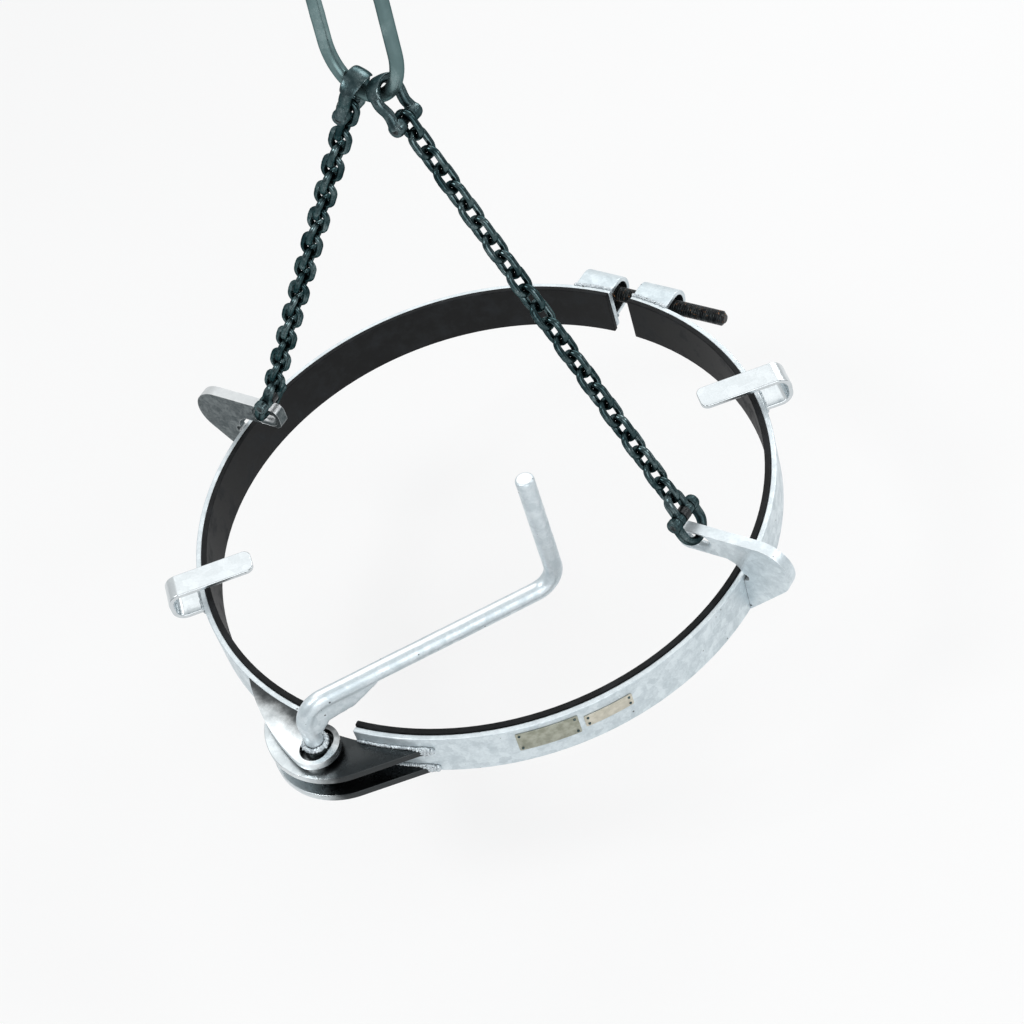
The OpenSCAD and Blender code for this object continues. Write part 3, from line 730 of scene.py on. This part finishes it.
def thread_tree():
    """A screw thread: a ridge swept along a helix about X."""
    tree, start, end = node_tree("spindle_thread", [
        ("Length", "NodeSocketFloat", 0.1), ("Root", "NodeSocketFloat", 0.007),
        ("Pitch", "NodeSocketFloat", 0.002)])
    turns = math_node(tree, "DIVIDE", start.outputs["Length"], start.outputs["Pitch"])
    helix = add(tree, "GeometryNodeCurveSpiral", {
        "Resolution": 40, "Rotations": turns, "Start Radius": start.outputs["Root"],
        "End Radius": start.outputs["Root"], "Height": start.outputs["Length"]})
    ridge = add(tree, "GeometryNodeCurvePrimitiveCircle", {
        "Resolution": 6, "Radius": times(tree, start.outputs["Pitch"], 0.5)})
    swept = add(tree, "GeometryNodeCurveToMesh", {
        "Curve": helix.outputs[0], "Profile Curve": ridge.outputs[0], "Fill Caps": True})
    turned = add(tree, "GeometryNodeTransform", {
        "Geometry": swept.outputs[0], "Rotation": (0.0, math.pi / 2, 0.0)})
    both = add(tree, "GeometryNodeJoinGeometry")
    tree.links.new(turned.outputs[0], both.inputs[0])
    tree.links.new(start.outputs["Geometry"], both.inputs[0])
    return close_tree(tree, start, end, both.outputs[0])


def rivet_tree():
    """A round rivet head on each point of the input."""
    tree, start, end = node_tree("rivet_heads", [("Radius", "NodeSocketFloat", 0.0015)])
    ball = add(tree, "GeometryNodeMeshUVSphere", {
        "Segments": 16, "Rings": 8, "Radius": start.outputs["Radius"]})
    placed = add(tree, "GeometryNodeInstanceOnPoints", {
        "Points": start.outputs["Geometry"], "Instance": ball.outputs[0]})
    return close_tree(tree, start, end, placed.outputs[0])


LINK_ROW = link_row_tree()
WELD_RUN = weld_tree()
SPINDLE_THREAD = thread_tree()
RIVET_HEADS = rivet_tree()


def build_chain(side):
    """One leg of welded links, each with its weld bulge on one long side."""
    x, z = X_AXIS, Z_AXIS
    mean_r = LINK_WIDTH / 2 + WIRE_R
    half = (LINK_LENGTH - LINK_WIDTH) / 2
    points = arc(z * half, mean_r, 0, 180, 12, x, z)
    points += [Vector((-mean_r, 0, half * k / 3)) for k in (2, 1, 0, -1, -2)]
    points += arc(z * -half, mean_r, 180, 360, 12, x, z)
    points += [Vector((mean_r, 0, half * k / 3)) for k in (-2, -1, 0, 1, 2)]
    sections = []
    for point in points:
        bulge = math.exp(-(point.z / 0.0019) ** 2) if point.x < 0 else 0.0
        radius = WIRE_R * (1 + 0.07 * bulge)
        sections.append((radius, radius))
    work = bmesh.new()
    tube(work, points, Y_AXIS, sections, 14, closed=True)
    name = "chain_" + SIDE_NAMES[side]
    link = bmesh_to_mesh(work, name)
    obj = grown(name + "_links", link, LINK_ROW, CHAIN_STEEL, count=LINK_COUNT, pitch=LINK_PITCH)
    obj.data.transform(leg_matrix(side, FIRST_LINK_T))
    mount(obj, "sling", "dark_steel", name)


def half_link_points(mean_r, arm, pinch):
    """Middle line of a half link in its YZ plane: up a waisted arm, over the bow and down the other arm."""
    steps = 8
    rise = []
    for k in range(steps):
        waist = pinch * math.sin(math.pi * k / steps) ** 2
        rise.append(Vector((0, mean_r - waist, -arm * (1 - k / steps))))
    fall = [Vector((0, -point.y, point.z)) for point in reversed(rise)]
    return rise + arc(Vector(), mean_r, 0, 180, 24, Y_AXIS, Z_AXIS) + fall


def forged_half(name, side, along, mean_r, arm, section, eye_r, eye_in, eye_out,
                flip=False, pinch=0.0, flange=0.0):
    """A forged half link with two eyes, and over its crown a flange of that half width if one is given.

    section(share) gives the bar's half sizes, from one eye (0) over the crown (0.5) to the other (1).
    """
    points = half_link_points(mean_r, arm, pinch)
    sections = [section(k / (len(points) - 1)) for k in range(len(points))]
    work = bmesh.new()
    tube(work, points, X_AXIS, sections, 24)
    if flange:
        steps = 24
        rim = arc(Vector(), mean_r + FLANGE_RISE, 20, 160, steps, Y_AXIS, Z_AXIS)
        swell = []
        for k in range(steps + 1):
            wide = math.sin(math.pi * k / steps) ** 0.6
            swell.append((FLANGE_HALF_T, FLANGE_HALF_W + (flange - FLANGE_HALF_W) * wide))
        tube(work, rim, X_AXIS, swell, 24)
    for hand in (1, -1):
        stations = [Vector((0, hand * (eye_in + (eye_out - eye_in) * k / 4), -arm)) for k in range(5)]
        swell = [(eye_r * s, eye_r * s) for s in (0.88, 1.0, 1.0, 1.0, 0.86)]
        tube(work, stations, X_AXIS, swell, 28)
    obj = forged(name + "_forging", work, FORGED_STEEL,
                 voxel=0.00045, rounds=3, lumps=0.00012, lump_size=0.006)
    turn = Matrix.Rotation(math.pi, 4, "Y") if flip else Matrix.Identity(4)
    obj.data.transform(leg_matrix(side, along) @ turn)
    mount(obj, "sling", "dark_steel", name)


def staked_pin(name, side, along, half):
    """A pin across the leg whose two ends are dished by the staking punch."""
    rim = [(half - 0.0016, 0.0003), (half - 0.0015, 0.0017), (half - 0.0003, 0.0026), (half, 0.0031),
           (half - 0.0002, 0.0037), (half - 0.0008, PIN_R)]
    stations = [(-y, r) for y, r in rim] + [(y, r) for y, r in reversed(rim)]
    work = bmesh.new()
    middles = [Vector((0, y, 0)) for y, _ in stations]
    tube(work, middles, X_AXIS, [(r, r) for _, r in stations], 24)
    obj = new_object(name + "_staked", bmesh_to_mesh(work, name), PIN_STEEL)
    obj.data.transform(leg_matrix(side, along))
    shade(obj.data, 50)
    mount(obj, "sling", "dark_steel", name)


def build_sling_fittings(side):
    """Coupler, connecting link, pins and sleeve of one leg."""
    word = SIDE_NAMES[side]

    def coupler_bar(share):
        crown = math.exp(-((share - 0.5) / 0.19) ** 4)
        return 0.0048 - 0.0009 * crown, 0.0056 + 0.0004 * crown

    def upper_bar(share):
        crown = math.exp(-((share - 0.5) / 0.2) ** 2)
        return 0.0037 - 0.0002 * crown, 0.0056 - 0.0014 * crown

    def lower_bar(share):
        crown = math.exp(-((share - 0.5) / 0.2) ** 2)
        return 0.0043 - 0.0003 * crown, 0.0060 - 0.0019 * crown

    forged_half("coupler_" + word, side, COUPLER_T, COUPLER_BOW_R, COUPLER_ARM, coupler_bar,
                eye_r=0.0076, eye_in=0.006, eye_out=0.018, pinch=COUPLER_PINCH, flange=COUPLER_CROWN_HALF_W)
    forged_half("link_upper_" + word, side, UPPER_T, UPPER_BOW_R, UPPER_ARM, upper_bar,
                eye_r=0.007, eye_in=0.0049, eye_out=0.0119)
    forged_half("link_lower_" + word, side, LOWER_T, LOWER_BOW_R, LOWER_ARM, lower_bar,
                eye_r=0.0074, eye_in=0.0123, eye_out=0.0209, flip=True)
    staked_pin("coupler_pin_" + word, side, COUPLER_PIN_T, half=0.0185)
    staked_pin("load_pin_" + word, side, LOAD_PIN_T, half=0.0211)
    softened("load_sleeve_" + word, BLACK_SLEEVE, "sling", "black_steel", 0.0008)


def build_master_link():
    """The oval top link, with a faint swelling at its weld."""
    x, z = X_AXIS, Z_AXIS
    straight = MASTER_HALF - MASTER_BOW_RISE
    over = arc(Vector(), 1.0, 0, 180, 40, x * MASTER_MEAN_R, z * (MASTER_MEAN_R + MASTER_BOW_RISE))
    points = [point + z * straight for point in over]
    points += [Vector((-MASTER_MEAN_R, 0, straight * (1 - k / 6))) for k in range(1, 12)]
    points += [z * -(straight + MASTER_SAG) - point for point in over]
    points += [Vector((MASTER_MEAN_R, 0, straight * (k / 6 - 1))) for k in range(1, 12)]
    sections = []
    for point in points:
        bulge = math.exp(-(point.z / 0.005) ** 2) if point.x < 0 else 0.0
        wave = 0.00008 * noise.noise(point * 60)
        sections.append((MASTER_BAR_R + wave - 0.0001, MASTER_BAR_R + wave + 0.0004 * bulge))
    work = bmesh.new()
    tube(work, points, Y_AXIS, sections, 32, closed=True)
    obj = new_object("master_link_bar", bmesh_to_mesh(work, "master_link_bar"), MASTER_STEEL)
    obj.data.transform(sling_matrix(BOW_V + MASTER_HALF))
    shade(obj.data, 60)
    mount(obj, "master", "dark_steel", "master_link")


def build_lever():
    """Bent round bar with an upright grip; its web is melted into the corner over the foot."""
    along = Vector((math.cos(ARM_ANGLE), math.sin(ARM_ANGLE), 0))
    across = Vector((-math.sin(ARM_ANGLE), math.cos(ARM_ANGLE), 0))
    up = Z_AXIS
    foot = PIVOT + Vector((THROW, 0, 0))
    bend = ARM_BEND_R
    points = [foot + up * (FOOT_Z + (ARM_Z - bend - FOOT_Z) * k / 5) for k in range(5)]
    points += arc(foot + along * bend + up * (ARM_Z - bend), bend, 180, 90, 12, along, up)
    points += [foot + along * (bend + (ARM_LENGTH - 2 * bend) * k / 40) + up * ARM_Z for k in range(1, 40)]
    points += arc(foot + along * (ARM_LENGTH - bend) + up * (ARM_Z + bend), bend, -90, 0, 12, along, up)
    top = GRIP_TOP - GRIP_CHAMFER
    grip = foot + along * ARM_LENGTH
    points += [grip + up * (ARM_Z + bend + (top - ARM_Z - bend) * k / 20) for k in range(1, 21)]
    sections = [(LEVER_R, LEVER_R)] * len(points)
    points.append(grip + up * GRIP_TOP)
    sections.append((LEVER_R - GRIP_CHAMFER,) * 2)
    work = bmesh.new()
    tube(work, points, across, sections, 32)
    # Outline of the web: distance out along the arm, and height
    outline = [(-0.006, 0.008), (0.0115, 0.008), (0.021, 0.018), (0.048, 0.021), (0.075, 0.035),
               (0.078, 0.042), (0.024, 0.044), (0.004, 0.036), (-0.006, 0.020)]
    faces = []
    for offset in (-WEB_HALF_T, WEB_HALF_T):
        faces.append([work.verts.new(foot + along * px + up * pz + across * offset) for px, pz in outline])
    count = len(outline)
    work.faces.new(faces[0])
    work.faces.new(list(reversed(faces[1])))
    for k in range(count):
        work.faces.new((faces[0][k], faces[1][k], faces[1][(k + 1) % count], faces[0][(k + 1) % count]))
    obj = forged("lever_bar", work, LEVER_ZINC, voxel=0.0010, rounds=10, lumps=0.00012, lump_size=0.011)
    mount(obj, "lever", "galvanised_steel", "lever")


def build_spindle():
    """Threaded bar: collar, core with a chamfered end and a swept thread."""
    low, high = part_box("spindle")
    root = SPINDLE_R - THREAD_DEPTH
    shoulder = low.x + COLLAR_LENGTH
    stations = [(low.x, COLLAR_R - COLLAR_CHAMFER), (low.x + COLLAR_CHAMFER, COLLAR_R),
                (shoulder - COLLAR_CHAMFER, COLLAR_R), (shoulder, COLLAR_R - COLLAR_CHAMFER),
                (shoulder, root), (high.x - 0.003, root), (high.x, root - 0.0026)]
    # Each station is a micrometre further out, so that the two at the shoulder stay apart
    axis = Vector((0, SPINDLE_Y, SPINDLE_Z))
    middles = [axis + X_AXIS * along + X_AXIS * (1e-6 * i) for i, (along, _) in enumerate(stations)]
    work = bmesh.new()
    tube(work, middles, Z_AXIS, [(r, r) for _, r in stations], 48)
    mesh = bmesh_to_mesh(work, "spindle_core")
    begin = low.x + 0.009
    mesh.transform(Matrix.Translation((-begin, -SPINDLE_Y, -SPINDLE_Z)))
    obj = grown("spindle_thread", mesh, SPINDLE_THREAD, BLACK_SPINDLE,
                length=high.x - 0.0035 - begin, root=root, pitch=THREAD_PITCH)
    obj.data.transform(Matrix.Translation((begin, SPINDLE_Y, SPINDLE_Z)))
    shade(obj.data, 35)
    mount(obj, "right_half", "black_steel", "spindle")


def edges_mesh(name, paths):
    """A mesh of loose edge paths."""
    points, edges = [], []
    for path in paths:
        first = len(points)
        points += path
        edges += [(first + k, first + k + 1) for k in range(len(path) - 1)]
    mesh = bpy.data.meshes.new(name)
    mesh.from_pydata(points, edges, [])
    return mesh


def weld(name, paths, body, bead, seed, spacing=0.0019, lumps=0.0003):
    """A weld run along each of the paths, uneven on its surface."""
    obj = grown(name, edges_mesh(name, paths), WELD_RUN, WELD_ZINC, spacing=spacing, bead=bead, seed=seed)
    roughen(obj.data, lumps, 0.002, 2)
    shade(obj.data, 180)
    mount(obj, body, "galvanised_steel")


def ring_point(radius, degrees, z):
    """A point so far from the middle of the ring, at an angle in degrees and a height."""
    a = math.radians(degrees)
    return Vector((radius * math.cos(a), radius * math.sin(a), z))


def band_run(start, finish, z, steps=24):
    """Points along the outside of the band, just off it, between two angles in degrees."""
    return [ring_point(WELD_R, start + (finish - start) * k / steps, z) for k in range(steps + 1)]


def build_welds():
    """Weld runs of the clamp plates, fingers and spindle eyes, and the ring round the lever's foot."""
    beside = 0.0008
    fork_low = BAND_LOW + PLATE_T
    weld("fork_welds", [
        band_run(-83.5, -70.2, FORK_TOP + beside), band_run(-83.5, -70.2, FORK_TOP - PLATE_T - beside),
        band_run(-83.5, -70.2, fork_low + beside)], "right_half", bead=0.0022, seed=3)
    weld("fork_weld_tails", [
        band_run(-72.6, -69.3, FORK_TOP - 0.001, 4), band_run(-72.0, -69.5, FORK_TOP - 0.0045, 4),
        band_run(-72.6, -69.4, fork_low - 0.001, 4), band_run(-72.0, -69.6, fork_low - 0.0045, 4)],
        "right_half", bead=0.0030, seed=7, spacing=0.0031)
    tongue_run = band_run(-96.5, -109.6, BAND_TOP - PLATE_T - beside)
    weld("tongue_welds", [tongue_run], "left_half", bead=0.0022, seed=5)
    for side, word in SIDE_NAMES.items():
        middle = math.degrees(FINGER_ANGLES[side])
        wide = math.degrees(0.0135 / BAND_R)
        paths = [band_run(middle - wide, middle + wide, z, steps=8) for z in (-0.0205, -0.0265)]
        weld("finger_welds_" + word, paths, HALF_BODY[side], bead=0.0023, seed=21 + side)
        low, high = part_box("spindle_eye_" + SIDE_NAMES[side])
        xs = [low.x + 0.001 + (high.x - low.x - 0.002) * k / 12 for k in range(13)]
        paths = []
        for z in (low.z - beside, high.z + beside):
            paths.append([Vector((px, math.sqrt(WELD_R ** 2 - px * px), z)) for px in xs])
        weld("eye_welds_" + word, paths, HALF_BODY[side], bead=0.0021, seed=31 + side)
    foot = PIVOT + Vector((THROW, 0, FOOT_Z + 0.0022))
    around = arc(foot, LEVER_R + 0.0012, 0, 360, 40, X_AXIS, Y_AXIS)
    weld("foot_weld", [around], "lever", bead=0.0030, seed=41, spacing=0.0030, lumps=0.0007)


def bare_plate(name, material, start, finish, low, high):
    """A thin plate with round corners, bent to the band, with a rivet in each corner."""
    radius = BAND_R + 0.0002
    thick = 0.0008
    corner = 0.0016
    half_w = radius * math.radians(finish - start) / 2
    half_h = (high - low) / 2
    middle = math.radians((start + finish) / 2)
    outline = []
    for cx, cz, a in ((1, 1, 0), (-1, 1, 90), (-1, -1, 180), (1, -1, 270)):
        for k in range(5):
            t = math.radians(a + 22.5 * k)
            px = cx * (half_w - corner) + corner * math.cos(t)
            pz = cz * (half_h - corner) + corner * math.sin(t)
            outline.append((px, pz))
    stations = 24
    work = bmesh.new()
    work.faces.new([work.verts.new((px, pz, 0)) for px, pz in outline])
    for k in range(1, stations):
        cut = -half_w + 2 * half_w * k / stations
        bmesh.ops.bisect_plane(work, geom=work.verts[:] + work.edges[:] + work.faces[:],
                               plane_co=(cut, 0, 0), plane_no=(1, 0, 0))
    solid = bmesh.ops.extrude_face_region(work, geom=work.faces[:])
    for vertex in (v for v in solid["geom"] if isinstance(v, bmesh.types.BMVert)):
        vertex.co.z += thick
    for vertex in work.verts:
        a = middle + vertex.co.x / radius
        r = radius + vertex.co.z
        vertex.co = Vector((r * math.cos(a), r * math.sin(a), (low + high) / 2 + vertex.co.y))
    obj = new_object(name, bmesh_to_mesh(work, name), material)
    round_edges(obj, 0.00025, 2, 50)
    frozen(obj)
    shade(obj.data, 40)
    mount(obj, "right_half", "galvanised_steel")
    inset = 0.0035
    points = [ring_point(radius + thick, math.degrees(middle + sx * (half_w - inset) / radius),
                         (low + high) / 2 + sz * (half_h - inset)) for sx in (-1, 1) for sz in (-1, 1)]
    mesh = bpy.data.meshes.new(name + "_rivets")
    mesh.from_pydata(points, [], [])
    rivets = grown(name + "_rivets", mesh, RIVET_HEADS, FORGED_STEEL, radius=0.0014)
    mount(rivets, "right_half", "dark_steel")


def build_clamp_ring():
    """The two half bands with all that is fixed to them, and the small pieces on the lever's shaft."""
    for side, word in SIDE_NAMES.items():
        body = HALF_BODY[side]
        softened("band_" + word, BAND_ZINC, body, "galvanised_steel", 0.0013)
        softened("lining_" + word, LINING_RUBBER, body, "lining_rubber", 0.0012)
        # The left lug takes the dark zinc copy, whose darkness is painted shade.
        softened("lug_" + word, BAND_ZINC if side == RIGHT else SHADED_LUG_ZINC, body, "galvanised_steel", 0.0010)
        softened("stop_finger_" + word, FINGER_ZINC, body, "galvanised_steel", 0.0012)
        softened("spindle_eye_" + word, EYE_ZINC, body, "galvanised_steel", 0.0010)
    for node in ("fork_upper_plate", "fork_lower_plate", "thrust_washer"):
        softened(node, FORK_ZINC, "right_half", "galvanised_steel", 0.0009)
    softened("tongue_plate", PLATE_ZINC, "left_half", "galvanised_steel", 0.0009)
    softened("spindle_nut", PIN_STEEL, "right_half", "dark_steel", 0.0009)
    softened("spindle_bush", PIN_STEEL, "left_half", "dark_steel", 0.0009)
    softened("eccentric_shaft", PIN_STEEL, "lever", "dark_steel", 0.0007)
    softened("retaining_washer", PLATE_ZINC, "lever", "galvanised_steel", 0.0007)
    softened("split_pin", FORGED_STEEL, "lever", "dark_steel", 0.0003)


def build_floor():
    """Plain white floor well below the hanging object."""
    mesh = bpy.data.meshes.new("floor")
    z = cad_low.z - FLOOR_DROP
    corners = [(x * FLOOR_HALF, y * FLOOR_HALF, z) for x, y in ((-1, -1), (1, -1), (1, 1), (-1, 1))]
    mesh.from_pydata(corners, [], [(0, 1, 2, 3)])
    material, tree, shader = new_material("floor_white")
    coords = object_coords(tree)
    paper = noise_tex(tree, 3.0, 3.0, 0.5, coords)
    white = mix_colour(tree, paper, (0.70, 0.70, 0.70, 1), (0.74, 0.74, 0.74, 1))
    tree.links.new(white, shader.inputs["Base Color"])
    shader.inputs["Roughness"].default_value = 0.9
    glow = add(tree, "ShaderNodeEmission", {"Color": (1, 1, 1, 1), "Strength": 1.0})
    path = add(tree, "ShaderNodeLightPath")
    seen = math_node(tree, "MAXIMUM", path.outputs["Is Camera Ray"], path.outputs["Is Glossy Ray"])
    seen = math_node(tree, "MAXIMUM", seen, path.outputs["Is Transmission Ray"])
    blend = add(tree, "ShaderNodeMixShader", {0: times(tree, seen, 0.7)})
    tree.links.new(shader.outputs[0], blend.inputs[1])
    tree.links.new(glow.outputs[0], blend.inputs[2])
    tree.links.new(blend.outputs[0], tree.nodes["Material Output"].inputs["Surface"])
    new_object("floor", mesh, material)


def build_sky():
    """Soft light from all round, brighter on one side."""
    world = bpy.data.worlds.new("studio")
    bpy.context.scene.world = world
    world.use_nodes = True
    tree = world.node_tree
    direction = add(tree, "ShaderNodeTexCoord").outputs["Generated"]
    towards = add(tree, "ShaderNodeVectorMath", {0: direction, 1: BRIGHT_SIDE}, operation="DOT_PRODUCT")
    sky = add(tree, "ShaderNodeValToRGB", {0: spread(tree, towards.outputs["Value"], -0.5, 1.0)})
    sky.color_ramp.elements[0].position = 0.0
    sky.color_ramp.elements[0].color = (0.24, 0.26, 0.28, 1)
    sky.color_ramp.elements[1].position = 1.0
    sky.color_ramp.elements[1].color = (0.85, 0.86, 0.86, 1)
    tree.links.new(sky.outputs[0], tree.nodes["Background"].inputs["Color"])
    tree.nodes["Background"].inputs["Strength"].default_value = 1.0


def build_lamps():
    """Five soft lamps round the object: place, aim, size in metres and power in watts."""
    for name, place, aim, size, power in (
            ("key_light", (-1.25, 1.15, 2.1), (0, 0, 0), 1.8, 6.0),
            ("fill_light", (2.0, -1.8, 1.3), (0.15, -0.1, 0), 2.2, 34.0),
            ("glint_light", (-0.9, -1.5, 2.4), (0.1, 0, 0.2), 0.8, 20.0),
            ("rim_light", (2.0, 1.3, 1.5), (0.1, 0, 0.2), 0.7, 10.0),
            ("back_light", (0.1, 2.3, 1.5), (0, 0, 0.3), 1.2, 18.0)):
        lamp = bpy.data.lights.new(name, "AREA")
        lamp.size = size
        lamp.energy = power
        obj = bpy.data.objects.new(name, lamp)
        obj.location = place
        obj.rotation_euler = (Vector(aim) - Vector(place)).to_track_quat("-Z", "Y").to_euler()
        bpy.context.scene.collection.objects.link(obj)


def place_camera():
    """Camera at the photo's angle, and plain colours."""
    camera = bpy.data.cameras.new("camera")
    camera.lens = CAMERA_LENS
    camera.sensor_width = 36.0
    obj = bpy.data.objects.new("camera", camera)
    obj.location = CAMERA_AT
    obj.rotation_mode = "QUATERNION"
    level = (CAMERA_AIM - CAMERA_AT).to_track_quat("-Z", "Y")
    obj.rotation_quaternion = level @ Quaternion((0, 0, 1), CAMERA_ROLL)
    bpy.context.scene.collection.objects.link(obj)
    bpy.context.scene.camera = obj
    bpy.context.scene.view_settings.view_transform = "Standard"


build_floor()
build_sky()
build_lamps()
place_camera()
build_master_link()
for leg_side in (RIGHT, LEFT):
    build_chain(leg_side)
    build_sling_fittings(leg_side)
build_clamp_ring()
build_lever()
build_spindle()
build_welds()
bare_plate("bare_plate_wide", KHAKI_TIN, -53.8, -42.2, -0.0456, -0.0206)
bare_plate("bare_plate_slim", PALE_TIN, -41.2, -31.7, -0.0418, -0.0262)
